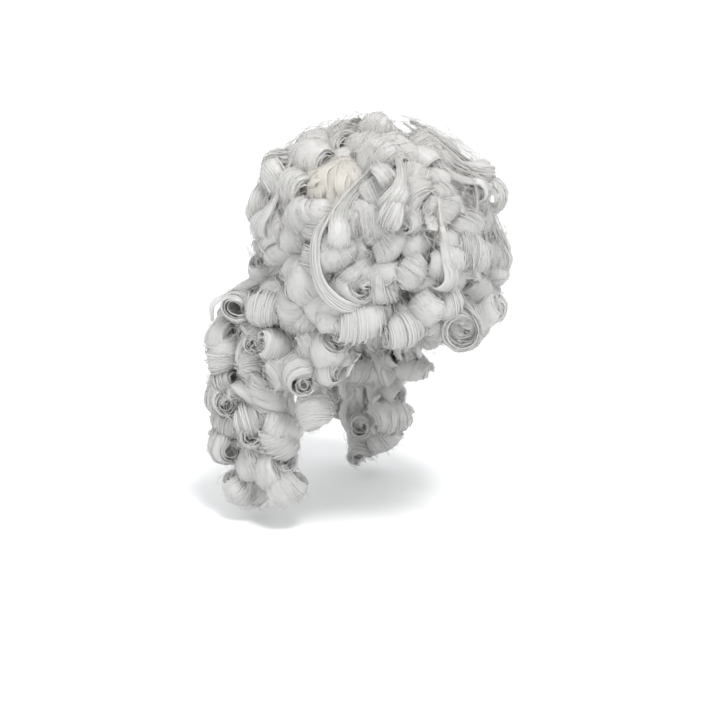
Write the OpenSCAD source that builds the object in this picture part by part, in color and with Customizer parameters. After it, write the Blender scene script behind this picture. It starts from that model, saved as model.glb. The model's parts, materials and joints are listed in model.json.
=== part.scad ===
// Long curly costume wig: a wefted stretch cap with rows of barrel curls,
// and loose ringlets that hang in front of each shoulder.
// The wearer faces -Y and the wearer's left side is +X. The origin is the
// middle of the head opening, at the level where a head is measured round.

/* [Cap] */
// Half of the cap's width at the girth line
cap_r = 80; // [72:1:88]
// Straight stretch of each side, between the front and the back dome
cap_straight = 30; // [16:1:44]
// Radius of the inward curve of the sides below the girth line
low_curve_r = 160; // [140:5:220]
// Height of the front hairline above the girth line
front_rise = 8; // [4:1:14]
// Height of the front band
front_band_h = 20; // [14:1:24]
// Depth of the ear tabs below the girth line
ear_tab_drop = 50; // [44:1:54]
// Front-to-back width of an ear tab
ear_tab_w = 27; // [20:1:30]
// Radius of the arch over each ear
ear_arch_r = 21; // [18:1:23]
// Width of the binding round the ear arch
ear_binding_w = 8; // [5:1:9]
// Depth of the nape edge below the girth line
nape_drop = 72; // [68:1:84]
// Height of the nape band
nape_band_h = 14; // [12:1:16]
// Radius of the closed patch at the crown
crown_patch_r = 22; // [16:1:26]
// Thickness of the net and of the bands
net_t = 1.0; // [0.8:0.1:1.4]

/* [Sewn tapes] */
// Thickness of the ribs that carry the wefts
rib_t = 1.0; // [0.8:0.1:1.4]
// Width of a rib
rib_w = 8; // [6:1:12]
// Thickness of a weft tape
tape_t = 1.4; // [1:0.1:2]
// Width of a weft tape
tape_w = 8; // [5:1:10]

/* [Curls] */
// Radius of a barrel curl
curl_r = 21; // [15:0.5:22]
// Length of a barrel curl
curl_len = 36; // [28:1:38]
// Height of a curl's middle above the cap
curl_out = 48; // [44:1:56]
// Gap between a curl and its neighbours
curl_gap = 1; // [0.6:0.1:3]
// Radius of the bundle of straight hair that leads to a curl
root_r = 7; // [5:0.5:8]
// Half of the gap in the curls in front of the face
face_half = 58; // [50:1:66]

/* [Hanging locks] */
// Radius of the thickest hanging lock
lock_r = 22; // [17:0.5:23]
// Distance between hanging locks, front to back
lock_pitch = 46; // [46:1:52]
// Distance of the hanging locks from the middle of the head
lock_side = 112; // [106:1:120]
// Height of the locks' pivots below the girth line
lock_top = 112; // [112:1:124]
// Length of the longest lock below its pivot
lock_len = 240; // [180:2:280]
// Clear gap over the top of a hanging lock
lock_gap = 0.6; // [0.4:0.1:2]

/* [Adjusters] */
// Width of the adjuster straps
strap_w = 7; // [5:0.5:8]
// Thickness of the adjuster straps
strap_t = 1.1; // [0.8:0.1:1.4]
// Clearance round a strap and its hook
strap_gap = 0.3; // [0.25:0.05:0.5]
// Turn of a strap each way along the nape band, in degrees
strap_travel = 9; // [4:1:9]

/* [Hidden] */
$fn = 64;

half = cap_straight / 2;
wall = [0, net_t];
rib_layer = [net_t, net_t + rib_t];
tape_layer = [net_t + rib_t, net_t + rib_t + tape_t];
tape_face = tape_layer[1];
reach = cap_r + 200;
deg = 180 / PI;

// Rows of curls: rows 1 to 4 ring the dome, rows 5 to 7 hang below the girth line
dome_rows = 4;
row_pitch = 2 * curl_r + curl_gap;
ring_r = cap_r + curl_out;
row_step = 2 * asin((curl_r + curl_gap / 8) / ring_r);
last_ring = [ring_r * sin(row_step * dome_rows), ring_r * cos(row_step * dome_rows)];
low_tape_z = [-4, -20, -44];
low_flare = 3;
row_counts = [6, 12];
barrel_end = 0.68;
front_fan = 0.6;

// Ear and nape outlines, seen from the side as [y, z]
ear_y = 4;
ear_top = -26;
ear_mid = ear_top - ear_arch_r;
tab_back = ear_y - ear_arch_r - ear_binding_w;
tab_front = tab_back - ear_tab_w;
nape_front = ear_y + ear_arch_r;
binding_back = nape_front + ear_binding_w;

// Adjusters run round the back dome, in degrees from the wearer's left
hook_arc = [58, 66];
tongue_arc = [60, 64];
slot_arc = tongue_arc + [-1, 1] * (strap_travel + 6);
pocket_arc = slot_arc + [-5, 5];
strap_arc = [12, 58];
keeper_arc = [19, 24];
strap_mid = -nape_drop + nape_band_h / 2;
pocket_t = 1;

// ---- The cap's shape ----

// Outline of one half of the cap's cross-section, grown outwards by t
module skull_half(t, drop) {
    intersection() {
        circle(cap_r + t, $fn = 96);
        square(reach);
    }
    intersection() {
        translate([cap_r - low_curve_r, 0]) circle(low_curve_r + t, $fn = 128);
        translate([0, -drop]) square([reach, drop]);
    }
}

// Section of a layer from t[0] to t[1], between the heights z[0] and z[1]
module layer_section(t, z) {
    intersection() {
        difference() {
            skull_half(t[1], nape_drop);
            skull_half(t[0], nape_drop + 1);
        }
        translate([0, z[0]]) square([reach, z[1] - z[0]]);
    }
}

// Turns a section into the cap's stadium form: two half rounds and a straight middle
module stadium(half_len) {
    translate([0, half_len, 0]) rotate_extrude(angle = 180) children();
    translate([0, -half_len, 0]) rotate([0, 0, 180]) rotate_extrude(angle = 180) children();
    for (side = [0, 1]) mirror([side, 0, 0])
        translate([0, half_len, 0]) rotate([90, 0, 0]) linear_extrude(2 * half_len) children();
}

module layer(t, z) {
    stadium(half) layer_section(t, z);
}

module solid_head(t) {
    stadium(half) skull_half(t, nape_drop + 60);
}

// Part of a layer round the back dome only, over an arc in degrees
module back_arc(t, z, arc) {
    translate([0, half, 0]) rotate([0, 0, arc[0]])
        rotate_extrude(angle = arc[1] - arc[0]) layer_section(t, z);
}

// A shape drawn from the side as [y, z], as deep as the wig is wide, on one side only
module side_prism(side) {
    mirror([side < 0 ? 1 : 0, 0, 0])
        rotate([90, 0, 90]) linear_extrude(reach) children();
}

// ---- Cap pieces ----

module crown_patch() {
    color("ivory") intersection() {
        layer(rib_layer, [0, reach]);
        cylinder(r = crown_patch_r, h = reach);
    }
}

module crown_net() {
    color("gainsboro") layer(wall, [front_rise + front_band_h, reach]);
}

module front_band() {
    color("whitesmoke") intersection() {
        layer(wall, [front_rise, front_rise + front_band_h]);
        translate([-reach, -reach, 0]) cube([2 * reach, reach + tab_back, reach]);
    }
}

module nape_band() {
    color("whitesmoke") intersection() {
        layer(wall, [-nape_drop, -nape_drop + nape_band_h]);
        translate([-reach, binding_back, -reach]) cube([2 * reach, reach, reach]);
    }
}

module ear_tab(side) {
    color("whitesmoke") intersection() {
        layer(wall, [-ear_tab_drop, front_rise]);
        side_prism(side) difference() {
            translate([tab_front, -ear_tab_drop]) square([ear_tab_w, ear_tab_drop + front_rise]);
            translate([tab_front, -ear_tab_drop]) difference() {
                square(ear_tab_w / 3);
                translate([1, 1] * ear_tab_w / 3) circle(ear_tab_w / 3);
            }
        }
    }
}

// Thin bendable stay sewn on the inner face of an ear tab
module ear_stay(side) {
    stay_w = 4;
    stay_t = 0.8;
    color("silver") intersection() {
        layer([-stay_t, 0], [-ear_tab_drop + 8, front_rise - 6]);
        side_prism(side) translate([(tab_front + tab_back) / 2 - stay_w / 2, -reach])
            square([stay_w, 2 * reach]);
    }
}

// Binding over the ear and down behind it to the nape edge
module ear_binding(side) {
    color("whitesmoke") intersection() {
        layer(wall, [-nape_drop, ear_top + ear_binding_w + 1]);
        side_prism(side) difference() {
            union() {
                translate([ear_y, ear_mid]) circle(ear_arch_r + ear_binding_w);
                translate([tab_back, -ear_tab_drop])
                    square([ear_binding_w, ear_tab_drop + ear_mid]);
                translate([nape_front, -nape_drop])
                    square([ear_binding_w, nape_drop + ear_mid]);
            }
            translate([ear_y, ear_mid]) circle(ear_arch_r);
            translate([ear_y - ear_arch_r, -reach]) square([2 * ear_arch_r, reach + ear_mid]);
        }
    }
}

// Rib from the crown patch down to the cap's edge, at an angle from the wearer's left
module rib(angle, bottom) {
    color("white") difference() {
        intersection() {
            layer(rib_layer, [bottom, reach]);
            translate([0, sin(angle) * half, 0]) rotate([0, 0, angle])
                translate([0, -rib_w / 2, -reach]) cube([reach, rib_w, 2 * reach]);
        }
        translate([0, 0, -1]) cylinder(r = crown_patch_r, h = reach);
    }
}

// ---- Weft tapes ----

function tape_z(row) =
    row <= dome_rows ? cap_r * cos(row_step * row) : low_tape_z[row - dome_rows - 1];
function tape_h(row) = row <= dome_rows ? tape_w * max(sin(row_step * row), 0.4) : tape_w;
function tape_front(row) =
    row <= dome_rows ? -reach : row == dome_rows + 3 ? nape_front : tab_front;

module weft_tape(row) {
    z = tape_z(row);
    h = tape_h(row);
    color("linen") intersection() {
        layer(tape_layer, [z - h / 2, z + h / 2]);
        translate([-reach, tape_front(row), -reach]) cube([2 * reach, 2 * reach, 2 * reach]);
    }
}

// ---- Adjusters ----

module on_side(side) {
    mirror([side < 0 ? 1 : 0, 0, 0]) children();
}

function around(mid, size) = [mid - size / 2, mid + size / 2];

module pocket_strip(side) {
    color("linen") on_side(side) difference() {
        back_arc([-pocket_t, 0], around(strap_mid, nape_band_h - 2), pocket_arc);
        back_arc([-pocket_t - 1, 1], around(strap_mid, strap_w - 2), slot_arc);
    }
}

strap_layer = [-pocket_t - strap_gap - strap_t, -pocket_t - strap_gap];

module adjuster_strap(side) {
    color("white") on_side(side)
        back_arc(strap_layer, around(strap_mid, strap_w), strap_arc);
}

// Flat hook with a tongue that stands in the pocket strip's slot
module adjuster_hook(side) {
    color("ivory") on_side(side) {
        back_arc(strap_layer, around(strap_mid, strap_w + 1), hook_arc);
        back_arc([strap_layer[1], -strap_gap],
            around(strap_mid, strap_w - 2 - 2 * strap_gap), tongue_arc);
    }
}

// Sewn loop that the strap runs through
module strap_keeper(side) {
    keeper_t = 0.8;
    color("linen") on_side(side) difference() {
        back_arc([strap_layer[0] - strap_gap - keeper_t, 0],
            around(strap_mid, strap_w + 2 * (strap_gap + 1)), keeper_arc);
        back_arc([strap_layer[0] - strap_gap, strap_layer[1] + strap_gap],
            around(strap_mid, strap_w + 2 * strap_gap), keeper_arc + [-1, 1]);
    }
}

module blank_label() {
    color("white") back_arc([-0.5, 0], around(strap_mid, nape_band_h - 2), [86, 94]);
}

// ---- Curls ----

// A point on the cap at height z, standing t above it, as [radius, height]
function cap_point(z, t) = z >= 0
    ? let(a = asin(z / cap_r)) [(cap_r + t) * cos(a), (cap_r + t) * sin(a)]
    : let(a = asin(-z / low_curve_r))
        [cap_r - low_curve_r + (low_curve_r + t) * cos(a), -(low_curve_r + t) * sin(a)];

// Middle of a row's curls as [radius, height]
function curl_point(row) = row <= dome_rows
    ? ring_r * [sin(row_step * row), cos(row_step * row)]
    : last_ring + (row - dome_rows) * [low_flare, -row_pitch];

// Length of the stadium ring of radius r, and the place at a distance d along one
// half of it from the back, as [angle, y of the dome's centre]
function ring_length(r) = 2 * PI * r + 2 * cap_straight;
function ring_place(d, r) =
    let(arc = PI / 2 * r)
    d < arc ? [90 - d / r * deg, half]
    : d < arc + cap_straight ? [0, half - (d - arc)]
    : [-(d - arc - cap_straight) / r * deg, -half];

function on_ring(place, p) =
    [p[0] * cos(place[0]), place[1] + p[0] * sin(place[0]), p[1]];

// Below the girth line the roots near the face gather on the ear tabs
function root_place(place, row) =
    row > dome_rows && place[0] < 0 ? [place[0] * front_fan, place[1]] : place;

function row_count(row) = row <= len(row_counts)
    ? row_counts[row - 1]
    : 2 * floor(ring_length(curl_point(row)[0]) / (curl_len + 5 * curl_gap) / 2);

// A row has curls where it is clear of the face, and row 7 only over the nape
function curl_fits(row, at) =
    row <= dome_rows || (row == dome_rows + 3 ? at[1] > nape_front + curl_len + curl_r / 2
        : at[1] > 0 || at[0] > face_half + curl_r);

module rod(from, to, r) {
    run = to - from;
    translate(from) rotate([0, acos(run[2] / norm(run)), atan2(run[1], run[0])])
        cylinder(r = r, h = norm(run));
}

// Barrel with rounded ends, its axis along +Y
module barrel() {
    rotate([90, 0, 0]) intersection() {
        cylinder(r = curl_r, h = curl_len, center = true);
        sphere(norm([curl_len / 2, barrel_end * curl_r]));
    }
}

module curl_at(place, row) {
    tip = on_ring(place, curl_point(row));
    rod(on_ring(root_place(place, row), cap_point(tape_z(row), 0)), tip, root_r);
    translate(tip) rotate([0, 0, place[0]]) barrel();
}

module hair_row(row) {
    r = curl_point(row)[0];
    count = row_count(row);
    shift = row % 2 / 2;
    color("white") for (k = [0 : count - 1]) {
        far = (k + shift) / count;
        place = ring_place(ring_length(r) * min(far, 1 - far), r);
        if (curl_fits(row, on_ring(place, curl_point(row))))
            on_side(far > 0.5 ? -1 : 1) difference() {
                curl_at(place, row);
                solid_head(tape_face);
            }
    }
}

module crown_curl() {
    color("white") difference() {
        union() {
            translate([0, 0, ring_r]) barrel();
            cylinder(r = root_r, h = ring_r);
        }
        solid_head(rib_layer[1]);
    }
}

// ---- Hair that hangs in front of the shoulders ----

lock_count = 5;
lock_lengths = [0.75, 1, 0.93, 0.45, 0.24];
lock_first_y = -160;
function lock_pivot(n) = [lock_side, lock_first_y + (n - 1) * lock_pitch, -lock_top];
function lock_bottom(n) = -lock_top - lock_len * lock_lengths[n - 1];
neck_r = 13;

// Swathe of straight hair: it comes down off the ear tab inside the lowest row of
// curls, then fans out under that row to the top of each hanging lock
module side_hair(side) {
    tab_mid = (tab_front + tab_back) / 2;
    under = -lock_top + neck_r + lock_gap;
    inner = lock_side - 22;
    edge = root_r - 1;
    color("white") on_side(side) difference() {
        union() {
            rod([cap_r - 12, tab_mid, -ear_tab_drop + root_r + 1],
                [inner + 6, tab_mid, under + edge], root_r);
            translate([0, 0, under]) linear_extrude(2 * edge - 2) polygon([
                [inner, tab_mid - 12],
                [lock_side - edge, lock_pivot(1)[1] - edge],
                [lock_side + edge, lock_pivot(1)[1] - edge],
                [lock_side + edge, lock_pivot(lock_count)[1] + edge],
                [lock_side - edge, lock_pivot(lock_count)[1] + edge],
                [inner, tab_mid + 12]
            ]);
        }
        solid_head(net_t);
    }
}

// Hanging lock: a round top on its pivot, then a string of rounded curls
module front_lock(side, n) {
    pivot = lock_pivot(n);
    curls = max(1, round(lock_len * lock_lengths[n - 1] / (1.6 * lock_r)));
    step = (-lock_top - lock_bottom(n) - lock_r) / curls;
    color("white") on_side(side) translate(pivot) rotate_extrude() intersection() {
        union() {
            circle(neck_r);
            translate([0, -step]) square([neck_r, step]);
            for (k = [1 : curls]) translate([0, -k * step]) circle(lock_r);
            translate([0, -curls * step]) square([lock_r - 4, (curls - 1) * step]);
        }
        translate([0, -reach - lock_len]) square(2 * (reach + lock_len));
    }
}

// ---- The nodes ----

crown_patch();
crown_net();
front_band();
nape_band();
blank_label();
ear_tab(1);  // ear_tab_left
ear_tab(-1);  // ear_tab_right
ear_stay(1);  // ear_stay_left
ear_stay(-1);  // ear_stay_right
ear_binding(1);  // ear_binding_left
ear_binding(-1);  // ear_binding_right
rib(90, -nape_drop);  // rib_back
rib(45, -nape_drop);  // rib_back_left
rib(135, -nape_drop);  // rib_back_right
rib(0, ear_top);  // rib_side_left
rib(180, ear_top);  // rib_side_right
rib(-45, front_rise);  // rib_front_left
rib(-135, front_rise);  // rib_front_right
weft_tape(1);  // weft_tape_1
weft_tape(2);  // weft_tape_2
weft_tape(3);  // weft_tape_3
weft_tape(4);  // weft_tape_4
weft_tape(5);  // weft_tape_5
weft_tape(6);  // weft_tape_6
weft_tape(7);  // weft_tape_7
pocket_strip(1);  // pocket_strip_left
pocket_strip(-1);  // pocket_strip_right
strap_keeper(1);  // strap_keeper_left
strap_keeper(-1);  // strap_keeper_right
adjuster_strap(1);  // adjuster_strap_left
adjuster_strap(-1);  // adjuster_strap_right
adjuster_hook(1);  // adjuster_hook_left
adjuster_hook(-1);  // adjuster_hook_right
crown_curl();
hair_row(1);  // hair_row_1
hair_row(2);  // hair_row_2
hair_row(3);  // hair_row_3
hair_row(4);  // hair_row_4
hair_row(5);  // hair_row_5
hair_row(6);  // hair_row_6
hair_row(7);  // hair_row_7
side_hair(1);  // side_hair_left
side_hair(-1);  // side_hair_right
front_lock(1, 1);  // front_lock_left_1
front_lock(1, 2);  // front_lock_left_2
front_lock(1, 3);  // front_lock_left_3
front_lock(1, 4);  // front_lock_left_4
front_lock(1, 5);  // front_lock_left_5
front_lock(-1, 1);  // front_lock_right_1
front_lock(-1, 2);  // front_lock_right_2
front_lock(-1, 3);  // front_lock_right_3
front_lock(-1, 4);  // front_lock_right_4
front_lock(-1, 5);  // front_lock_right_5
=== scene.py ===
import json
import math
import bmesh
import bpy
import numpy as np
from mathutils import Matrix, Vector


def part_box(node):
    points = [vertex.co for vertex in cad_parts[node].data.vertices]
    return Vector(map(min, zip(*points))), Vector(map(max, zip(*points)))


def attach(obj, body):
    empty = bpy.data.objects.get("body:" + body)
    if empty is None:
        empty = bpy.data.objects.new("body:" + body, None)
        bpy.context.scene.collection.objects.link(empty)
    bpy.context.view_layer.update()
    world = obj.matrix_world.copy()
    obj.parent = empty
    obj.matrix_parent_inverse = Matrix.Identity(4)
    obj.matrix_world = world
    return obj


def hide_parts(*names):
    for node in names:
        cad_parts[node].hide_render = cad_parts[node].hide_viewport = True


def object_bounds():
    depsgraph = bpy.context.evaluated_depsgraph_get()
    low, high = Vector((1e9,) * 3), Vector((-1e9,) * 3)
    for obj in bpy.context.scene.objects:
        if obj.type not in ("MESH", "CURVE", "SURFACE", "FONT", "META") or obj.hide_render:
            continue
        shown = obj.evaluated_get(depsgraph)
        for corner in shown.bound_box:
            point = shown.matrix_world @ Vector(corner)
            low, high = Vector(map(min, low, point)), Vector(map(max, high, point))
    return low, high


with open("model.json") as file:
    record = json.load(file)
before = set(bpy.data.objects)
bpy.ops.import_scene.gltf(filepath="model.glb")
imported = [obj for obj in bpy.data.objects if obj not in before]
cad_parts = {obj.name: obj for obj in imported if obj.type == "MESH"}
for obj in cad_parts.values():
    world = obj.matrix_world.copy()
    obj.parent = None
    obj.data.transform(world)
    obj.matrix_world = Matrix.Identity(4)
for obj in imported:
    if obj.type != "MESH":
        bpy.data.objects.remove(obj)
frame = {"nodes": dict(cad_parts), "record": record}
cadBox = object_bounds()
print("frame loaded")

# camera, light and floor

picture = {
    "azimuth": 125,  # degrees round the wig, as the frame's own views count them
    "elevation": 15,
    "distance": 1.7,
    "width": 0.9,  # metres that the picture shows across, at the wig
    "aimRight": -0.022,  # from the head's middle to the picture's middle
    "aimUp": -0.156,
}

studio = {
    "floorGap": 0.016,  # under the CAD's lowest lock, whose hair hangs a little lower
    "floorSize": 4000,
    "worldLight": 1.03,
    "sunLight": 1.9,
    "sunSoftness": 16,  # degrees across
    "sunAzimuth": 150,
    "sunElevation": 62,
}


def lookFrom(azimuth, elevation):
    turn, lift = math.radians(azimuth), math.radians(elevation)
    toCamera = Vector((math.sin(turn) * math.cos(lift), -math.cos(turn) * math.cos(lift), math.sin(lift)))
    right = Vector((math.cos(turn), math.sin(turn), 0))
    return toCamera, right, toCamera.cross(right)


def placeCamera():
    toCamera, right, up = lookFrom(picture["azimuth"], picture["elevation"])
    aim = right * picture["aimRight"] + up * picture["aimUp"]
    camera = bpy.data.objects.new("camera", bpy.data.cameras.new("camera"))
    camera.data.lens = camera.data.sensor_width * picture["distance"] / picture["width"]
    camera.location = aim + toCamera * picture["distance"]
    camera.rotation_euler = toCamera.to_track_quat("Z", "Y").to_euler()
    bpy.context.scene.collection.objects.link(camera)
    bpy.context.scene.camera = camera


def lightStudio():
    world = bpy.data.worlds.new("studio")
    bpy.context.scene.world = world
    world.use_nodes = True
    world.node_tree.nodes["Background"].inputs["Color"].default_value = (0.98, 0.99, 1, 1)
    world.node_tree.nodes["Background"].inputs["Strength"].default_value = studio["worldLight"]
    sun = bpy.data.objects.new("softSun", bpy.data.lights.new("softSun", "SUN"))
    sun.data.energy = studio["sunLight"]
    sun.data.angle = math.radians(studio["sunSoftness"])
    toSun = lookFrom(studio["sunAzimuth"], studio["sunElevation"])[0]
    sun.rotation_euler = toSun.to_track_quat("Z", "Y").to_euler()
    bpy.context.scene.collection.objects.link(sun)
    bpy.context.scene.view_settings.view_transform = "Standard"


placeCamera()
lightStudio()
bpy.ops.object.select_all(action="DESELECT")
floorHeight = cadBox[0][2] - studio["floorGap"]
bpy.ops.mesh.primitive_plane_add(size=studio["floorSize"], location=(0, 0, floorHeight))
floor = bpy.context.object
floor.name = "floor"
print("camera, light and floor placed")


# materials

# a socket that can be reckoned with
class Wire:
    def __init__(self, tree, socket):
        self.tree = tree
        self.socket = socket

    def joined(self, operation, other, swapped=False):
        node = self.tree.nodes.new("ShaderNodeMath")
        node.operation = operation
        for spot, value in zip(node.inputs, (other, self) if swapped else (self, other)):
            plug(self.tree, spot, value)
        return Wire(self.tree, node.outputs[0])

    def __add__(self, other):
        return self.joined("ADD", other)

    def __sub__(self, other):
        return self.joined("SUBTRACT", other)

    def __rsub__(self, other):
        return self.joined("SUBTRACT", other, True)

    def __mul__(self, other):
        return self.joined("MULTIPLY", other)

    __radd__ = __add__
    __rmul__ = __mul__


def plug(tree, spot, value):
    if isinstance(value, Wire):
        tree.links.new(value.socket, spot)
    else:
        spot.default_value = value


class Finish:
    def __init__(self, name, **fixed):
        self.material = bpy.data.materials.new(name)
        self.material.use_nodes = True
        self.tree = self.material.node_tree
        self.shader = self.tree.nodes["Principled BSDF"]
        for socket, value in fixed.items():
            self.shader.inputs[socket.replace("_", " ")].default_value = value

    def node(self, kind, settings=None, sockets=None, out=0):
        made = self.tree.nodes.new("ShaderNode" + kind)
        for name, value in (settings or {}).items():
            setattr(made, name, value)
        for name, value in (sockets or {}).items():
            plug(self.tree, made.inputs[name], value)
        return Wire(self.tree, made.outputs[out])

    def set(self, socket, value):
        plug(self.tree, self.shader.inputs[socket], value)

    def mixed(self, factor, first, second):
        return self.node("Mix", {"data_type": "RGBA"}, {0: factor, 6: first, 7: second}, 2)

    # mixes in light that comes through from behind
    def letThrough(self, colour, share):
        through = self.node("BsdfTranslucent", None, {"Color": colour})
        surface = Wire(self.tree, self.shader.outputs[0])
        both = self.node("MixShader", None, {0: share, 1: surface, 2: through})
        self.tree.links.new(both.socket, self.tree.nodes["Material Output"].inputs["Surface"])

    def bumped(self, height, strength, distance):
        sockets = {"Height": height, "Strength": strength, "Distance": distance}
        self.set("Normal", self.node("Bump", None, sockets))


def hairFinish(name, light, grooveShadeAndDarkStrand, litWarmTop, root):
    finish = Finish(name, Sheen_Weight=0.3, Sheen_Roughness=0.4, Specular_IOR_Level=0.6, Coat_Weight=0.25,
                    Coat_Roughness=0.3)
    strand = finish.node("UVMap", {"uv_map": "strand"})
    across = finish.node("Mapping", None, {"Vector": strand, "Scale": (3.4, 0.12, 1)})
    streak = finish.node("TexNoise", None, {"Vector": across, "Scale": 1, "Detail": 6, "Roughness": 0.75})
    broad = finish.node("Mapping", None, {"Vector": strand, "Scale": (1.1, 0.1, 1)})
    lock = finish.node("TexNoise", None, {"Vector": broad, "Scale": 1, "Detail": 1})
    along = finish.node("SeparateXYZ", None, {"Vector": strand}, 1)
    height = finish.node("SeparateXYZ", None, {"Vector": finish.node("TexCoord", None, None, 3)}, 2)
    rooty = finish.node("MapRange", None,
                        {"Value": along, "From Min": 0, "From Max": 5, "To Min": 1, "To Max": 0})
    # painted light: with height the hair is mixed into the top colour, which is painted lighter where light
    # from above falls on the wig, and a little warmer in tone
    high = finish.node("MapRange", None, {"Value": height, "From Min": -0.06, "From Max": 0.13})
    sharp = finish.node("MapRange", None, {"Value": streak, "From Min": 0.34, "From Max": 0.66})
    # painted shade: the colour darkens with the same streak that sinks the bump, so the grooves between
    # strands are painted darker, besides a random tone from lock to lock
    body = finish.mixed(lock * 0.35 + sharp * 0.75 - 0.08, grooveShadeAndDarkStrand, finish.mixed(high, light, litWarmTop))
    tint = finish.mixed(rooty * 0.4, body, root)
    finish.set("Base Color", tint)
    finish.set("Roughness", streak * 0.3 + 0.14)
    finish.bumped(sharp, 0.4, 0.0006)
    finish.letThrough(light, 0.48)
    return finish.material


def clothFinish(name, colour, shade, pitch, slant=0.0):
    finish = Finish(name, Roughness=0.8, Sheen_Weight=0.3)
    place = finish.node("TexCoord", None, None, 3)
    turned = finish.node("Mapping", None, {"Vector": place, "Rotation": (0, 0, slant)})
    warp = finish.node("TexWave", {"bands_direction": "Z"},
                       {"Vector": turned, "Scale": 1 / pitch, "Distortion": 0.4})
    weft = finish.node("TexWave", {"bands_direction": "DIAGONAL"}, {"Vector": turned, "Scale": 1 / pitch})
    weave = warp * 0.5 + weft * 0.5
    finish.set("Base Color", finish.mixed(weave, shade, colour))
    finish.bumped(weave, 0.6, 0.0004)
    return finish.material


# the second colour is the darker strand tone, which also paints the shade in the grooves between strands
# the third colour is the top's: for the white hair it is painted lighter, as if lit from above, and a little
# warmer; for the cream hair it is nearly the same as the first
hairWhite = hairFinish("hairWhite", (0.88, 0.88, 0.87, 1), (0.78, 0.775, 0.76, 1), (0.98, 0.955, 0.93, 1),
                       (0.93, 0.90, 0.83, 1))
hairCream = hairFinish("hairCream", (0.90, 0.88, 0.84, 1), (0.80, 0.77, 0.71, 1), (0.90, 0.88, 0.835, 1),
                       (0.84, 0.81, 0.73, 1))
print("materials mixed")


# strands

# hair that stands out past the CAD's box is pressed back softly
pressed = {"free": 0.006, "soft": 0.009}


def heldIn(points):
    low, high = (np.array(corner) for corner in cadBox)
    soft = pressed["soft"]
    for side, edge in ((1, high + pressed["free"]), (-1, low - pressed["free"])):
        past = (points - edge) * side
        points = np.where(past > 0, edge + side * soft * np.tanh(np.maximum(past, 0) / soft), points)
    return points


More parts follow.
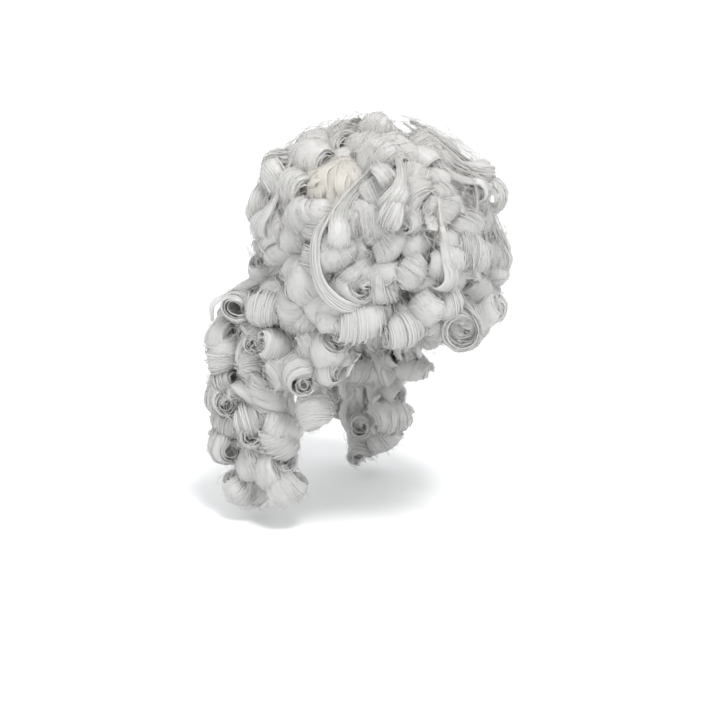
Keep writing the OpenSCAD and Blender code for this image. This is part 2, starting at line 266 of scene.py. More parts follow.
# gathers closed skins of hair, then makes them one mesh
class HairMesh:
    def __init__(self, name, seed):
        self.name = name
        self.rng = np.random.default_rng(seed)
        self.points, self.loops, self.sizes, self.maps = [], [], [], []
        self.count = 0
        self.skins = 0

    # a closed skin through rings of points; across is each corner's place round the ring in cm
    def skin(self, rings, across):
        steps, corners = rings.shape[:2]
        self.points.append(rings.reshape(-1, 3))
        ring = np.arange(corners)
        nextRing = (ring + 1) % corners
        row = np.arange(steps - 1)[:, None] * corners
        quads = np.stack([row + ring, row + nextRing, row + corners + nextRing, row + corners + ring], -1)
        self.loops.append(quads.reshape(-1) + self.count)
        self.sizes.append(np.full(quads.shape[0] * corners, 4))
        middle = rings.mean(1)
        length = np.concatenate([[0], np.cumsum(np.linalg.norm(np.diff(middle, axis=0), axis=1))]) * 100
        u = self.skins * 3.7 + np.append(across, across[0])
        uv = np.empty((steps - 1, corners, 4, 2))
        uv[..., 0, 0] = uv[..., 3, 0] = u[:-1]
        uv[..., 1, 0] = uv[..., 2, 0] = u[1:]
        uv[..., 0, 1] = uv[..., 1, 1] = length[:-1, None]
        uv[..., 2, 1] = uv[..., 3, 1] = length[1:, None]
        self.maps.append(uv.reshape(-1, 2))

        # the two ends are closed
        for start, order, at in ((0, ring[::-1], 0), ((steps - 1) * corners, ring, -1)):
            self.loops.append(order + start + self.count)
            self.sizes.append(np.array([corners]))
            self.maps.append(np.tile([u[0], length[at]], (corners, 1)))
        self.count += steps * corners
        self.skins += 1

    # one flattened bundle along path, its width lying along side
    def sweep(self, path, side, halfWidth, halfThick, corners=8, ridge=0.1):
        ahead = np.gradient(path, axis=0)
        ahead /= np.linalg.norm(ahead, axis=1, keepdims=True) + 1e-12
        side = side - ahead * (side * ahead).sum(1, keepdims=True)
        side /= np.linalg.norm(side, axis=1, keepdims=True) + 1e-12
        face = np.cross(ahead, side)
        turn = 2 * np.pi * np.arange(corners) / corners
        relief = self.rng.normal(1, ridge, corners)
        over = (np.cos(turn) * relief * halfWidth[:, None])[:, :, None] * side[:, None]
        outward = (np.sin(turn) * relief * halfThick[:, None])[:, :, None] * face[:, None]
        self.skin(path[:, None] + over + outward, np.cos(turn) * float(halfWidth.max()) * 100)

    # a sheet of hair through grid (steps, strands across, 3), a little ridged
    def sheet(self, grid, thick, relief):
        steps, wide = grid.shape[:2]
        ahead = np.gradient(grid, axis=0)
        over = np.gradient(grid, axis=1)
        normal = np.cross(over, ahead)
        normal /= np.linalg.norm(normal, axis=2, keepdims=True) + 1e-12
        share = np.linspace(-1, 1, wide)
        early, late = self.rng.normal(0, 1, (2, wide))
        mix = np.linspace(0, 1, steps)[:, None]
        rise = relief * (early * (1 - mix) + late * mix)
        body = thick * np.sqrt(1.02 - share**4) + rise * (1 - share**2)
        body = body * np.linspace(1, 0.45, steps)[:, None]
        top = grid + normal * body[:, :, None]
        bottom = grid - normal * (thick * np.sqrt(1.02 - share**4))[None, :, None] * 0.6
        girth = np.linalg.norm(grid[steps // 2, -1] - grid[steps // 2, 0]) * 100 * (share + 1) / 2
        self.skin(np.concatenate([top, bottom[:, ::-1]], 1), np.concatenate([girth, girth[::-1]]))

    def make(self, body, *nodes, finish=None):
        mesh = bpy.data.meshes.new(self.name)
        points = heldIn(np.concatenate(self.points)).astype(np.float32)
        loops = np.concatenate(self.loops).astype(np.int32)
        sizes = np.concatenate(self.sizes).astype(np.int32)
        mesh.vertices.add(len(points))
        mesh.vertices.foreach_set("co", points.ravel())
        mesh.loops.add(len(loops))
        mesh.loops.foreach_set("vertex_index", loops)
        mesh.polygons.add(len(sizes))
        mesh.polygons.foreach_set("loop_start", np.concatenate([[0], np.cumsum(sizes)[:-1]]).astype(np.int32))
        mesh.polygons.foreach_set("use_smooth", np.ones(len(sizes), bool))
        mesh.update(calc_edges=True)
        layer = mesh.uv_layers.new(name="strand")
        layer.data.foreach_set("uv", np.concatenate(self.maps).astype(np.float32).ravel())
        mesh.materials.append(finish or hairWhite)
        piece = bpy.data.objects.new(self.name, mesh)
        bpy.context.scene.collection.objects.link(piece)
        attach(piece, body)
        if nodes:
            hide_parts(*nodes)
        triangles = int((sizes - 2).sum())
        print(self.name, triangles, "triangles")
        return triangles


def unit(v):
    return np.asarray(v, float) / np.linalg.norm(v)


# a smooth path from start to end that leaves and arrives along the two pulls
def between(start, startPull, end, endPull, steps):
    t = np.linspace(0, 1, steps, endpoint=False).reshape((steps,) + (1,) * np.ndim(start))
    return ((2 * t**3 - 3 * t**2 + 1) * start + (t**3 - 2 * t**2 + t) * startPull
            + (3 * t**2 - 2 * t**3) * end + (t**3 - t**2) * endPull)


# the path with a soft random wave that grows from nothing at its root
def wavy(path, rng, size, turns=2.0):
    t = np.linspace(0, 1, len(path)).reshape((len(path),) + (1,) * (path.ndim - 1))
    out = path.copy()
    for part in (1, 2.3):
        reach = size / part * t**0.7 * rng.normal(0, 1, 3)
        out += reach * np.sin(2 * np.pi * (turns * part * t + rng.random()))
    return out


def tapered(steps, full, root, tip, tipFrom=0.7):
    t = np.linspace(0, 1, steps)
    grow = root + (1 - root) * np.clip(t / 0.18, 0, 1)
    fade = 1 - (1 - tip) * np.clip((t - tipFrom) / (1 - tipFrom), 0, 1) ** 1.4
    return full * grow * fade


curl = {
    "width": 0.047,  # across the widest part of the roll
    "radius": 0.0235,
    "turns": 1.15,
    "inner": 0.25,  # radius at the tip, as a share of the first turn's
    "round": 0.36,  # how far the roll's ends close in
    "rootWidth": 0.4,  # width at the root and at the tip, as shares of the full width
    "tipWidth": 0.35,
    "sheets": (1, 0.8, 0.55),  # radius of each layer of the roll, as a share
    "sheetStrands": (15, 9, 7),
    "sheetThick": 0.001,
    "sheetRelief": 0.0003,
    "sheetWave": 0.0019,
    "bundles": 13,
    "bundleWidth": 0.0011,
    "bundleThick": 0.0005,
    "bundleWave": 0.0009,
    "strays": 18,
    "strayRadius": 0.00032,
    "straySwing": 0.003,
    "pull": 0.075,  # how strongly the hair leaves its root
    "leadSteps": 8,
    "coilSteps": 18,
}

# where the roll begins, in degrees up from straight outwards, and how far its hair first rises
rollStart = {"under": 74, "flip": -78, "wave": 96, "ring": 90, "trail": 72}
rollRise = {"under": 0.7, "flip": -0.55, "wave": 0.25, "ring": 0.3, "trail": -1.3}


# paths of the hairs at the given shares (-1 to 1) across a lock, as (steps, hairs, 3)
def lockGrid(shape, share, radius, turns, phase, leadSteps, coilSteps):
    axis, outward, up, middle, root = (shape[key] for key in ("axis", "outward", "up", "middle", "root"))
    t = np.linspace(0, 1, coilSteps)[:, None]
    profile = np.interp(t, (0, 0.3, 0.6, 1), (0.8, 1, 0.9, shape["tipWidth"]))
    rim = radius * (1 - shape["round"] * share**2)[None, :]
    r = rim * (1 - (1 - shape["inner"]) * t**1.5)
    begin = np.radians(shape["start"] + phase + shape["skew"] * share)
    angle = begin - shape["sense"] * 2 * np.pi * turns * t
    aside = share * shape["width"] / 2 * profile + shape["drift"] * (t - 0.35)
    wound = (middle + (r * np.cos(angle))[:, :, None] * outward + (r * np.sin(angle))[:, :, None] * up
             + aside[:, :, None] * axis)
    away = root + axis * (share * shape["width"] / 2 * shape["rootWidth"])[:, None]
    setOff = wound[1] - wound[0]
    setOff /= np.linalg.norm(setOff, axis=1, keepdims=True)
    reach = np.linalg.norm(wound[0] - away, axis=1, keepdims=True)
    leave = shape["leave"] * np.maximum(shape["pull"], reach * 0.9)
    lead = between(away, leave, wound[0], setOff * reach, leadSteps)
    return np.concatenate([lead, wound])


# a lock of hair that runs from its root to a curl about middle
def addCurl(hair, root, middle, axis, outward, size=1.0, kind="under", **own):
    rng = hair.rng
    look = {**curl, **own}
    axis = unit(axis)
    outward = unit(outward - axis * np.dot(outward, axis))
    up = np.cross(outward, axis)
    up = up if up[2] >= 0 else -up
    shape = {
        "axis": axis, "outward": outward, "up": up, "middle": middle, "root": root,
        "start": rollStart[kind] + rng.normal(0, 12), "sense": -1 if kind == "flip" else 1,
        "skew": rng.normal(0, 16), "inner": look["inner"], "round": look["round"],
        "width": look["width"] * size, "drift": rng.normal(0, 0.42) * look["width"] * size,
        "rootWidth": look["rootWidth"], "tipWidth": look["tipWidth"],
        "leave": unit(outward * 0.75 + up * rollRise[kind]), "pull": look["pull"],
    }
    radius = look["radius"] * size
    turns = look["turns"] * rng.normal(1, 0.16)
    for part, count in zip(look["sheets"], look["sheetStrands"]):
        layer = lockGrid(shape, np.linspace(-1.02, 1.02, count), radius * part, turns,
                         rng.normal(0, 9), look["leadSteps"], look["coilSteps"])
        hair.sheet(wavy(layer, rng, look["sheetWave"] * size, 1.3), look["sheetThick"] * size,
                   look["sheetRelief"] * size)
    for n in range(look["bundles"]):
        share = np.array([rng.uniform(-1.05, 1.05)])
        path = lockGrid(shape, share, radius * rng.uniform(1.0, 1.06), turns * rng.normal(1, 0.1),
                        rng.normal(0, 6), look["leadSteps"], look["coilSteps"])[:, 0]
        path = wavy(path, rng, look["bundleWave"] * size)
        steps = len(path)
        wide = tapered(steps, look["bundleWidth"] * size, 0.5, 0.15)
        thick = tapered(steps, look["bundleThick"] * size, 0.9, 0.25)
        hair.sweep(path, np.repeat(axis[None], steps, 0), wide, thick, 4, 0.1)
    for n in range(look["strays"]):
        share = np.array([rng.uniform(-1.3, 1.3)])
        path = lockGrid(shape, share, radius * rng.uniform(0.98, 1.16), turns * rng.normal(1, 0.22),
                        rng.normal(0, 20), look["leadSteps"] // 2, look["coilSteps"] * 2 // 3)[:, 0]
        path = wavy(path, rng, look["straySwing"] * size, 1.5)
        steps = len(path)
        fine = tapered(steps, look["strayRadius"] * rng.uniform(0.7, 1.3), 1, 0.3)
        hair.sweep(path, np.repeat(axis[None], steps, 0), fine, fine, 3, 0)


# where the cap and the curls are

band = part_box("front_band")
capRadius = band[1].x
domeGap = -band[0].y - capRadius  # from the middle to each dome's own middle


def nearestMiddle(place):
    return np.array([0, min(max(place[1], -domeGap), domeGap), 0])


# each separate solid of a CAD node, as (middle, root): its curl and where its hair is sewn on
def solidsOf(nodeName):
    mesh = bmesh.new()
    mesh.from_mesh(frame["nodes"][nodeName].data)
    bmesh.ops.remove_doubles(mesh, verts=mesh.verts, dist=1e-6)
    left = set(mesh.verts)
    found = []
    while left:
        group, edge = set(), [left.pop()]
        while edge:
            vert = edge.pop()
            group.add(vert)
            for link in vert.link_edges:
                other = link.other_vert(vert)
                if other in left:
                    left.discard(other)
                    edge.append(other)
        faces = {face for vert in group for face in vert.link_faces}
        weight, total = 0.0, np.zeros(3)
        for face in faces:
            corners = [np.array(v.co) for v in face.verts]
            for k in range(1, len(corners) - 1):
                part = np.dot(corners[0], np.cross(corners[k], corners[k + 1]))
                weight += part
                total += part * (corners[0] + corners[k] + corners[k + 1]) / 4
        middle = total / weight
        points = np.array([v.co for v in group])
        far = np.linalg.norm(points - middle, axis=1)
        root = points[far > far.max() * 0.93].mean(0)
        found.append((middle + unit(middle - root) * 0.0028, root))
    mesh.free()
    return sorted(found, key=lambda pair: (round(math.atan2(pair[0][0], pair[0][1]), 3), pair[0][2]))


def outwardAt(place):
    way = unit(place - nearestMiddle(place))
    way[2] = max(way[2], -0.15)
    return unit(way)


def tangentAt(way):
    return unit(np.cross([0, 0, 1], way)) if math.hypot(way[0], way[1]) > 0.05 else np.array([0, 1.0, 0])


# axis turned about outward by swing degrees and towards it by lean degrees
def tilted(axis, outward, rng, swing, lean):
    other = np.cross(outward, axis)
    a, b = math.radians(rng.normal(0, swing)), math.radians(rng.normal(0, lean))
    turned = axis * math.cos(a) + other * math.sin(a)
    return unit(turned * math.cos(b) + outward * math.sin(b))


rows = {
    "count": 7,
    "swing": 48,  # how far the curls turn from level and lean outwards, in degrees
    "lean": 24,
    "sizes": (0.8, 1.2),
    "shift": 0.0095,  # how far a curl sits from its even place in the row
    "depth": 0.005,  # how far in from it
    "upperBack": (-0.02, 0.03),  # the curls behind and above this y and z sit nearer the cap by the sink
    "sink": 0.010,
    "nape": -0.095,  # the curls below this height are lifted
    "napeLift": 0.014,
    "forehead": (-0.03, 0.04),  # the curls in front of and above this y and z are combed waves
    "combedSink": 0.006,
    "combedSize": 1.1,
    "flips": 0.3,  # share of curls that roll upwards
    "seed": 7,
}

# the hair over the forehead lies in broad, loose waves
combedWave = {"turns": 0.8, "inner": 0.7, "width": 0.06, "round": 0.35, "tipWidth": 0.6, "rootWidth": 0.8}

# the crown of the hair lies flat round one spot on the wearer's left, and one curl at the back stands
# out as an open ring
crownSpot = {
    "at": (0.0755, -0.010, 0.065),
    "clear": 0.033,  # how far round it no curl is made
    "layers": 3,
    "strands": 15,  # in each layer
    "length": 0.082,
    "above": 0.036,  # how far uphill the combed hair starts
    "fan": 0.7,  # how far it spreads to either side, in radians
    "sphere": 0.115,  # radius that arc lengths over the hair are reckoned on
}
openRing = {
    "at": (0.050, 0.154, -0.090),
    "root": (0.030, 0.100, -0.055),
    "clear": 0.034,
    "radius": 0.0245,
}
crownPlace = np.array(crownSpot["at"])
ringPlace = np.array(openRing["at"])


def keptClear(place):
    way = unit(place - nearestMiddle(place))
    crownWay = unit(crownPlace - nearestMiddle(crownPlace))
    nearCrown = np.linalg.norm(way - crownWay) * 0.12 < crownSpot["clear"]
    return nearCrown or np.linalg.norm(place - ringPlace) < openRing["clear"]


def dressRow(number):
    nodeName = "hair_row_%d" % number
    hair = HairMesh("curls_row_%d" % number, rows["seed"] + number - 1)
    for middle, root in solidsOf(nodeName):
        if keptClear(middle):
            continue
        outward = outwardAt(middle)
        along = tangentAt(outward)
        aside, aloft = hair.rng.normal(0, rows["shift"], 2)
        moved = middle + along * aside + np.cross(outward, along) * aloft
        moved -= outward * abs(hair.rng.normal(0, rows["depth"]))
        if middle[1] > rows["upperBack"][0] and middle[2] > rows["upperBack"][1]:
            moved -= outward * rows["sink"]
        if middle[2] < rows["nape"]:
            moved[2] += rows["napeLift"]
        axis = tilted(along, outward, hair.rng, rows["swing"], rows["lean"])
        kind = "flip" if hair.rng.random() < rows["flips"] else "under"
        size = hair.rng.uniform(*rows["sizes"])
        if middle[1] < rows["forehead"][0] and middle[2] > rows["forehead"][1]:
            moved -= outward * rows["combedSink"]
            addCurl(hair, root, moved, along, outward, size * rows["combedSize"], "wave", **combedWave)
        else:
            addCurl(hair, root, moved, axis, outward, size, kind)
    return hair.make("cap", nodeName)


triangleCount = sum(dressRow(number) for number in range(1, rows["count"] + 1))
top = HairMesh("curl_crown", 5)
for middle, root in solidsOf("crown_curl"):
    addCurl(top, root, middle, (0, 1, 0), (1, 0, 0.3), 1.0)
triangleCount += top.make("cap", "crown_curl")
print("curls made")

# hair between the rows

filler = {
    "counts": (5, 10, 15, 18, 20, 20, 14),  # between one row and the next, from the top down
    "tilt": (10, 29, 48, 67, 86),  # degrees from straight up
    "drops": (-0.033, -0.075),  # heights of the last two rows, which hang under the dome
    "height": 0.026,  # above the cap
    "out": 0.004,  # how much further out the last two rows stand
    "size": (0.8, 1.1),
    "seed": 70,
}


# a place over the cap, at an angle round it and a tilt from straight up, both in degrees
def capPoint(angle, tilt, height):
    a, b = math.radians(angle), math.radians(tilt)
    way = np.array([math.sin(b) * math.cos(a), math.sin(b) * math.sin(a), math.cos(b)])
    return np.array([0, math.copysign(domeGap, way[1]), 0]) + way * (capRadius + height), way


domeRows = len(filler["tilt"])


def fillRow(level):
    hair = HairMesh("inner_curls_%d" % (level + 1), filler["seed"] + level)
    rng = hair.rng
    for n in range(filler["counts"][level]):
        angle = 360 * (n + rng.uniform(-0.25, 0.25)) / filler["counts"][level]
        if level < domeRows:
            middle, way = capPoint(angle, filler["tilt"][level], filler["height"])
            root = capPoint(angle, filler["tilt"][level] - 6, 0.004)[0]
        else:
            drop = filler["drops"][level - domeRows]
            middle, way = capPoint(angle, 90, filler["height"] + filler["out"])
            root = capPoint(angle, 90, 0.002)[0] * np.array([0.97, 0.97, 0])
            root[2] = max(drop + 0.02, -0.06)
            middle[2] = drop
            overFace = middle[1] < -0.02 and abs(middle[0]) < 0.085
            if overFace or (level > domeRows and middle[1] < 0.05):
                continue
        if keptClear(middle):
            continue
        axis = tilted(tangentAt(way), way, rng, 45, 20)
        kind = "flip" if rng.random() < 0.5 else "under"
        addCurl(hair, root, middle, axis, way, rng.uniform(*filler["size"]), kind,
                sheets=(1,), strays=3, bundles=2)
    return hair.make("cap")


triangleCount += sum(fillRow(level) for level in range(len(filler["counts"])))
print("inner curls made")

# hanging locks

hanging = {
    "rollGap": 0.035,
    "seed": 40,
    "sizes": (1.0, 1.36),
    "foremost": -0.152,  # no roll's middle is further forward
    "trim": 0.88,  # size of the first lock's rolls and of each lock's top roll, as a share
    "offset": 0.012,  # how far a roll's middle stands from the lock's own line
    "rootLift": 0.004,
    "coreStrands": 9,
    "coreSteps": 24,
    "coreWidth": 0.012,
    "coreThick": 0.005,
}


def hangLock(side, number):
    name = "front_lock_%s_%d" % (side, number)
    low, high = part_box(name)
    middle = (low + high) / 2
    seed = hanging["seed"] + number + (10 if side == "right" else 0)
    hair = HairMesh("ringlet_%s_%d" % (side, number), seed)
    rng = hair.rng
    top = np.array([middle.x, middle.y, high.z + hanging["rootLift"]])
    length = high.z - low.z
    rolls = max(2, round(length / hanging["rollGap"]))
    sign = 1 if side == "left" else -1
    for n in range(rolls):
        depth = 0.024 + (length - 0.048) * (n + rng.uniform(-0.15, 0.15)) / max(1, rolls - 1)
        depth = min(max(depth, 0.02), length - 0.02)
        angle = rng.uniform(0, 2 * math.pi)
        way = unit([math.cos(angle) * 0.6 + sign * 0.75, math.sin(angle), rng.normal(0, 0.2)])
        spot = np.array([middle.x, middle.y, high.z - depth]) + way * hanging["offset"]
        axis = tilted(tangentAt(way), way, rng, 50, 25)
        kind = "flip" if rng.random() < 0.35 else "under"
        spot[1] = max(spot[1], hanging["foremost"])
        size = rng.uniform(*hanging["sizes"]) * (hanging["trim"] if number == 1 or n == 0 else 1)
        root = np.array([middle.x, middle.y, min(spot[2] + 0.03, top[2])]) + rng.normal(0, 0.005, 3)
        addCurl(hair, root, spot, axis, way, size, kind, pull=0.05, strays=28,
                straySwing=0.007, rootWidth=0.3)
    steps = hanging["coreSteps"]
    for n in range(hanging["coreStrands"]):
        end = np.array([middle.x, middle.y, low.z + 0.03]) + rng.normal(0, 0.006, 3)
        down = np.array([0, 0, -length / 2])
        path = wavy(between(top, down, end, down, steps), rng, 0.007, 2)
        flatSide = np.repeat(unit(rng.normal(0, 1, 3))[None], steps, 0)
        hair.sweep(path, flatSide, tapered(steps, hanging["coreWidth"], 0.4, 0.3),
                   tapered(steps, hanging["coreThick"], 0.4, 0.3), 10, 0.12)
    return hair.make("lock_%s_%d" % (side, number), name)


for side in ("left", "right"):
    for number in range(1, 6):
        triangleCount += hangLock(side, number)
print("hanging locks made")

# combed hair against the cap

combed = {
    "tilts": (12, 19, 38, 57, 76),  # degrees from straight up where the rows of combed hair start
    "drops": (0.130, 0.146, 0.17),  # how far down the cap the lower rows start
    "perRow": 22,
    "perTopRow": 18,  # in the first two rows
    "length": 0.075,
    "shortest": 0.018,
    "hairline": 0.116,  # how far down from the top the hair may reach over the face
    "nape": 0.195,  # and elsewhere
    "lift": 0.014,
    "width": 0.016,
    "thick": 0.0016,
    "seed": 90,
}


# down the cap's surface from an arc distance start off the pole, rising off it to lift
def capPath(angle, domeY, start, length, lift, steps):
    t = np.linspace(0, 1, steps)
    s = start + length * t
    off = 0.0035 + lift * t**0.8
    quarter = capRadius * math.pi / 2
    theta = np.minimum(s, quarter) / capRadius
    below = np.maximum(s - quarter, 0)
    out = (capRadius + off) * np.sin(theta) - below**2 / 0.32
    height = (capRadius + off) * np.cos(theta) - below
    return np.stack([out * math.cos(angle), domeY + out * math.sin(angle), height], 1)


def combHair():
    hair = HairMesh("combed_hair", combed["seed"])
    rng = hair.rng
    starts = [capRadius * math.radians(tilt) for tilt in combed["tilts"]] + list(combed["drops"])
    for level, start in enumerate(starts):
        count = combed["perRow"] if level > 1 else combed["perTopRow"]
        for n in range(count):
            angle = 2 * math.pi * (n + rng.uniform(-0.3, 0.3)) / count
            if level >= len(combed["tilts"]) and -2.45 < math.atan2(math.sin(angle), math.cos(angle)) < -0.7:
                continue
            domeY = domeGap if math.sin(angle) > 0 else -domeGap
            length = combed["length"] * rng.uniform(0.7, 1.15)
            reach = combed["hairline"] if math.sin(angle) < -0.35 else combed["nape"]
            length = min(length, reach - start)
            if length < combed["shortest"]:
                continue
            lift = combed["lift"] * rng.uniform(0.6, 1.6)
            half = combed["width"] / 2 / max(0.03, start + 0.02)
            paths = [capPath(angle + half * k, domeY, start, length, lift, 14) for k in np.linspace(-1, 1, 9)]
            grid = np.stack(paths, 1)
            hair.sheet(wavy(grid, rng, 0.002, 1.2), combed["thick"], 0.0005)
    return hair.make("cap")


triangleCount += combHair()
print("combed hair made")

swathe = {"perLock": 14, "steps": 20, "width": 0.006, "thick": 0.0018, "seed": 60}

# the curls that cover the tops of the locks stand in a line from front to back
sideCurls = {
    "count": 10,
    "from": -0.122,
    "to": 0.06,
    "x": 0.116,
    "z": -0.084,
    "sizes": (0.95, 1.25),
}


# the swathe from the ear tab to the tops of the hanging locks
def sweepSide(side):
    name = "side_hair_%s" % side
    sign = 1 if side == "left" else -1
    hair = HairMesh("swathe_%s" % side, swathe["seed"] + sign)
    rng = hair.rng
    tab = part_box("ear_tab_%s" % side)
    tabMiddle = (tab[0] + tab[1]) / 2
    steps = swathe["steps"]
    for number in range(1, 6):
        lockLow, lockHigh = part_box("front_lock_%s_%d" % (side, number))
        end = np.array([(lockLow.x + lockHigh.x) / 2, (lockLow.y + lockHigh.y) / 2, lockHigh.z - 0.012])
        for n in range(swathe["perLock"]):
            start = np.array([tabMiddle.x, tabMiddle.y, tab[0].z + 0.03])
            start += np.array([0.004 * sign, rng.uniform(-0.014, 0.014), rng.uniform(-0.016, 0.03)])
            spot = end + rng.normal(0, 0.007, 3)
            pull = np.array([0.05 * sign, (spot[1] - start[1]) * 0.5, -0.03])
            path = wavy(between(start, pull, spot, np.array([0.01 * sign, 0, -0.09]), steps), rng, 0.003, 1)
            sides = np.repeat(unit([0.2, 1, 0.1])[None], steps, 0)
            hair.sweep(path, sides, tapered(steps, swathe["width"], 0.7, 0.5),
                       tapered(steps, swathe["thick"], 1, 0.5), 10, 0.12)
    run = sideCurls["to"] - sideCurls["from"]
    for n in range(sideCurls["count"]):
        y = sideCurls["from"] + run * n / (sideCurls["count"] - 1)
        spot = np.array([sideCurls["x"] * sign, y, sideCurls["z"]]) + rng.normal(0, 0.006, 3)
        way = unit([sign, rng.normal(0, 0.3) - (0.5 if n < 2 else 0), 0.1])
        root = np.array([0.088 * sign, tabMiddle.y + (y - tabMiddle.y) * 0.4, -0.052])
        kind = "flip" if rng.random() < 0.4 else "under"
        addCurl(hair, root, spot, tilted(tangentAt(way), way, rng, 45, 20), way,
                rng.uniform(*sideCurls["sizes"]), kind, pull=0.05, rootWidth=0.6)
    return hair.make("cap", name)


triangleCount += sweepSide("left") + sweepSide("right")

# loose locks and flyaways over the top

loose = {
    "locks": 34,
    "sizes": (0.75, 1.1),
    "height": 0.054,  # of a loose lock's middle above the cap
    "rise": (0.045, 0.085),  # how far above its curl a loose lock starts
    "flyaways": 1000,
    "flyawayLength": (0.02, 0.07),
    "flyawayRadius": 0.0002,
    "seed": 300,
}


# a place over the cap, at an angle round it and an arc length down from the top
def onHair(angle, arc, height):
    out = capPath(angle, 0, arc, 0, 0, 1)[0] + np.array([0, math.copysign(domeGap, math.sin(angle)), 0])
    way = outwardAt(out)
    return out + way * height, way


looseLook = {"width": 0.029, "turns": 0.9, "inner": 0.45, "tipWidth": 0.25, "rootWidth": 0.2, "round": 0.3,
             "sheets": (1,), "bundles": 8, "strays": 14, "pull": 0.05}


def dressLoose():
    hair = HairMesh("loose_locks", loose["seed"])
    rng = hair.rng
    for n in range(loose["locks"]):
        angle = rng.uniform(-math.pi, math.pi)
        arc = rng.uniform(0.07, 0.12 if math.sin(angle) < -0.4 else 0.2)
        middle, way = onHair(angle, arc, loose["height"])
        if keptClear(middle):
            continue
        root = onHair(angle + rng.normal(0, 0.25), max(0.01, arc - rng.uniform(*loose["rise"])), 0.060)[0]
        axis = tilted(tangentAt(way), way, rng, 50, 25)
        addCurl(hair, root, middle, axis, way, rng.uniform(*loose["sizes"]), "trail", **looseLook)
    return hair.make("cap")


def dressFlyaways():
    hair = HairMesh("flyaways", loose["seed"] + 1)
    rng = hair.rng
    for n in range(loose["flyaways"]):
        angle = rng.uniform(-math.pi, math.pi)
        arc = rng.uniform(0.0, 0.155 if math.sin(angle) < -0.3 else 0.2)
        length, lean, phase = rng.uniform(*loose["flyawayLength"]), rng.normal(0, 0.6), rng.random()
        sway, height = 0.012 * rng.normal(0, 1), rng.uniform(0.058, 0.0695)
        path = []
        for t in np.linspace(0, 1, 10):
            point, way = onHair(angle + lean * t * length / max(0.05, arc), arc + t * length * 0.85,
                                height + 0.005 * math.sin(2 * math.pi * (t + phase)))
            path.append(point + tangentAt(way) * sway * math.sin(2 * math.pi * (t * 1.2 + phase)))
        fine = tapered(10, loose["flyawayRadius"] * rng.uniform(0.7, 1.4), 0.4, 0.3)
        hair.sweep(np.array(path), np.repeat(tangentAt(way)[None], 10, 0), fine, fine, 3, 0)
    return hair.make("cap")


def dressCrownSpot():
    hair = HairMesh("crown_hair", 21)
    rng = hair.rng
    middle = nearestMiddle(crownPlace)
    way = unit(crownPlace - middle)
    level = tangentAt(way)
    uphill = np.cross(way, level)
    uphill = uphill if uphill[2] > 0 else -uphill
    lean = crownSpot["above"] / crownSpot["sphere"]
    parting = unit(way * math.cos(lean) + uphill * math.sin(lean))
    downhill = np.cross(level, parting)
    downhill = downhill if downhill[2] < 0 else -downhill
    for layer in range(crownSpot["layers"]):
        for n in range(crownSpot["strands"]):
            share = (2 * n / (crownSpot["strands"] - 1) - 1) + rng.uniform(-0.1, 0.1)
            turn = crownSpot["fan"] * share
            curve = rng.normal(0, 0.12)
            length = crownSpot["length"] * rng.uniform(0.8, 1.1)
            height = 0.036 + 0.002 * layer + rng.uniform(-0.002, 0.002)
            grid = []
            for t in np.linspace(0, 1, 16):
                far = length * t / crownSpot["sphere"]
                for k in np.linspace(-1, 1, 9):
                    bend = turn + curve * math.sin(5 * t)
                    across = 0.008 * k * (1 - 0.4 * t) / crownSpot["sphere"] + 0.12 * share
                    heading = downhill * math.cos(bend) + level * math.sin(bend)
                    aim = parting * math.cos(far) + heading * math.sin(far)
                    aim = unit(aim + level * across)
                    swell = 0.010 * math.sin(math.pi * t) - 0.012 * t**3
                    grid.append(middle + aim * (capRadius + height + swell))
            grid = np.array(grid).reshape(16, 9, 3)
            hair.sheet(wavy(grid, rng, 0.003, 1.4), 0.0012, 0.0004)
    return hair.make("cap", finish=hairCream)


# one long lock falls in a curve over the curls behind the ear, and turns in at its tip
longLock = {
    "through": ((0.124, 0.016, 0.044), (0.145, 0.014, 0.022), (0.152, 0.016, -0.008), (0.153, 0.026, -0.036),
                (0.147, 0.046, -0.056), (0.132, 0.066, -0.064), (0.112, 0.074, -0.060)),
    "steps": 8,  # between one point and the next
    "halfWidth": 0.0055,
    "strands": 26,
}


# a smooth path through the points
def throughPoints(points, steps):
    points = np.array(points)
    ends = np.concatenate([[2 * points[0] - points[1]], points, [2 * points[-1] - points[-2]]])
    path = []
    for n in range(len(points) - 1):
        a, b, c, d = ends[n:n + 4]
        for t in np.linspace(0, 1, steps, endpoint=False):
            bend = (2 * a - 5 * b + 4 * c - d) * t**2 + (3 * b - a - 3 * c + d) * t**3
            path.append(0.5 * (2 * b + (c - a) * t + bend))
    return np.array(path + [points[-1]])


def dressLongLock():
    hair = HairMesh("long_lock", 23)
    rng = hair.rng
    path = throughPoints(longLock["through"], longLock["steps"])
    steps = len(path)
    outward = np.array([outwardAt(point) for point in path])
    side = np.cross(np.gradient(path, axis=0), outward)
    side /= np.linalg.norm(side, axis=1, keepdims=True)
    spread = longLock["halfWidth"] * np.sin(np.pi * np.linspace(0.1, 0.93, steps))[:, None]
    for layer in range(3):
        twist = path + outward * 0.002 * layer + side * rng.normal(0, 0.003)
        grid = np.stack([twist + side * spread * k for k in np.linspace(-1, 1, 11)], 1)
        hair.sheet(wavy(grid, rng, 0.001, 1.2), 0.0013, 0.0004)
    for n in range(longLock["strands"]):
        strand = path + side * spread * rng.uniform(-1.1, 1.1) + outward * rng.uniform(0.001, 0.006)
        strand = wavy(strand, rng, 0.0012, 1)
        size = rng.choice((0.0004, 0.0011))
        hair.sweep(strand, side, tapered(steps, size, 0.5, 0.2), tapered(steps, size / 2, 0.5, 0.2), 4, 0)
    return hair.make("cap")


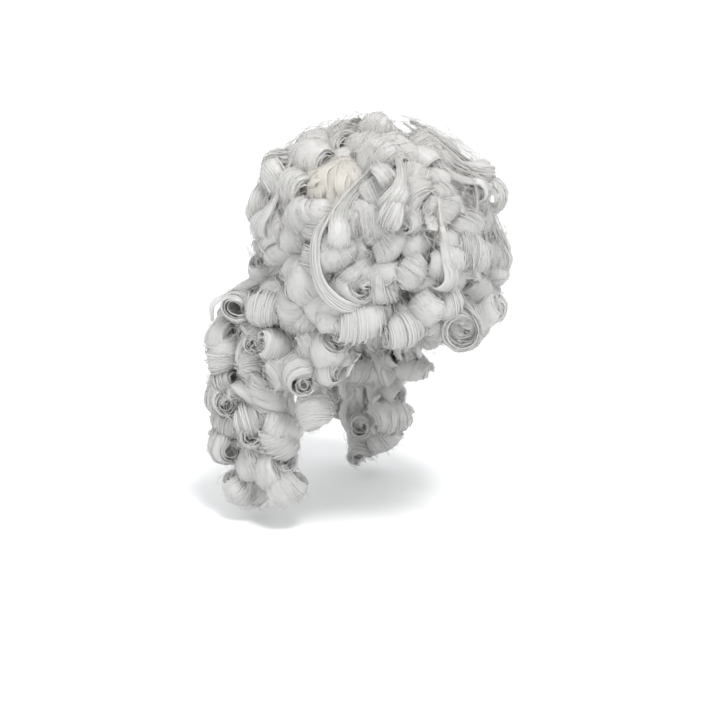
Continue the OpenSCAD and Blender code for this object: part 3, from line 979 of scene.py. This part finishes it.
ringLook = {"width": 0.016, "turns": 1.9, "radius": openRing["radius"], "inner": 0.62, "round": 0.1,
            "sheets": (1, 0.86), "sheetStrands": (9, 9), "bundles": 26, "strays": 40, "pull": 0.05,
            "coilSteps": 34, "rootWidth": 0.8, "tipWidth": 0.4}


def dressOpenRing():
    hair = HairMesh("ring_curl", 22)
    toCamera = np.array(lookFrom(picture["azimuth"], picture["elevation"])[0])
    axis = unit(toCamera + np.array([0.15, 0.1, -0.2]))
    addCurl(hair, np.array(openRing["root"]), ringPlace, axis, (0.5, 1, -0.1), 1.0, "ring", **ringLook)
    return hair.make("cap")


triangleCount += dressLoose() + dressFlyaways() + dressCrownSpot() + dressLongLock() + dressOpenRing()
print("loose hair made,", triangleCount, "triangles in all")

# the cap's own finishes

floorFinish = Finish("floorPaper", Roughness=0.9)
floorFinish.set("Base Color", (0.93, 0.93, 0.93, 1))
floor.data.materials.append(floorFinish.material)

capFinishes = {
    "net": clothFinish("stretchNet", (0.80, 0.77, 0.71, 1), (0.62, 0.59, 0.53, 1), 0.0016),
    "skin_patch": clothFinish("crownCloth", (0.84, 0.77, 0.67, 1), (0.74, 0.66, 0.56, 1), 0.0008),
    "band": clothFinish("knitBand", (0.86, 0.84, 0.80, 1), (0.70, 0.68, 0.63, 1), 0.0012),
    "rib": clothFinish("ribElastic", (0.86, 0.84, 0.80, 1), (0.72, 0.70, 0.66, 1), 0.001, 0.6),
    "weft_tape": clothFinish("weftTape", (0.87, 0.85, 0.81, 1), (0.75, 0.73, 0.69, 1), 0.0009, 0.3),
    "tape": clothFinish("wovenTape", (0.85, 0.82, 0.77, 1), (0.72, 0.69, 0.64, 1), 0.0009),
    "elastic": clothFinish("strapElastic", (0.88, 0.87, 0.84, 1), (0.74, 0.73, 0.70, 1), 0.0011),
    "hook": clothFinish("hookPlastic", (0.87, 0.85, 0.79, 1), (0.84, 0.82, 0.76, 1), 0.004),
    "stay": clothFinish("stayMetal", (0.72, 0.72, 0.72, 1), (0.66, 0.66, 0.66, 1), 0.002),
    "label": clothFinish("satinLabel", (0.91, 0.91, 0.90, 1), (0.86, 0.86, 0.85, 1), 0.0006),
}
for part in frame["record"]["subparts"]:
    node = frame["nodes"][part["node"]]
    finish = capFinishes.get(part["material_slot"], hairWhite)
    node.data.materials.clear()
    node.data.materials.append(finish)
print("cap finished")
